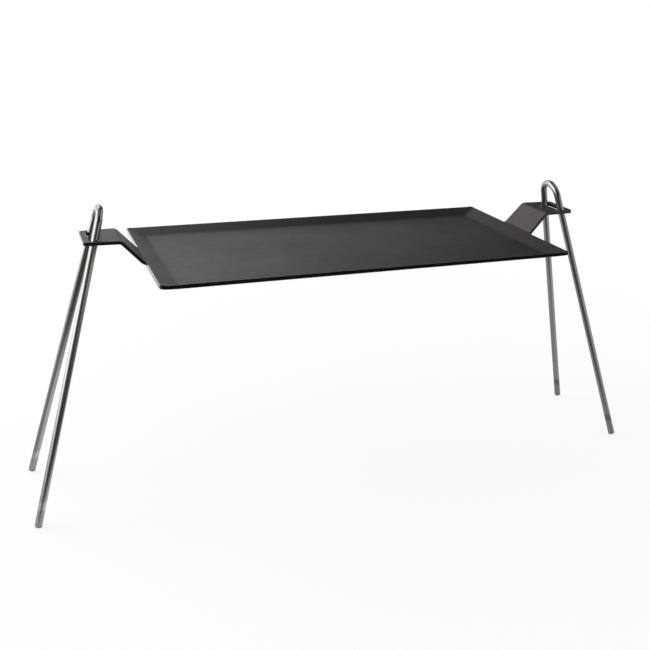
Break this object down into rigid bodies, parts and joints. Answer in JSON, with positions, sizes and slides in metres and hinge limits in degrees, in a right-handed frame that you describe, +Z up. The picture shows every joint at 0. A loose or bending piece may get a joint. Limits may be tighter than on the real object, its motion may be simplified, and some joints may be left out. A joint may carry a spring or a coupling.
{
  "type": "camp griddle plate",
  "caption": "Shallow folded-steel griddle plate with slotted ears, standing over a fire on removable hairpin rod legs.",
  "frame": {"origin": "on the ground, half way between the two legs and half way from the front to the back", "axes": "+X along the plate towards the right leg, +Y from the front edge to the back edge, +Z up"},
  "size_m": [0.5588, 0.182, 0.2523],
  "materials": {
    "seasoned_steel": "dark seasoned carbon steel, satin",
    "drawn_rod": "bright drawn rod, duller towards the feet"
  },
  "bodies": {
    "plate": {"griddle_plate": "seasoned_steel"},
    "left_leg": {"left_leg": "drawn_rod"},
    "right_leg": {"right_leg": "drawn_rod"}
  },
  "joints": [
    {"name": "left_leg_pull", "type": "slide", "parent": "plate", "child": "left_leg", "axis": [-0.2714, 0, -0.9625], "range_m": [0, 0.06]},
    {"name": "right_leg_pull", "type": "slide", "parent": "plate", "child": "right_leg", "axis": [0.2714, 0, -0.9625], "range_m": [0, 0.06]}
  ]
}
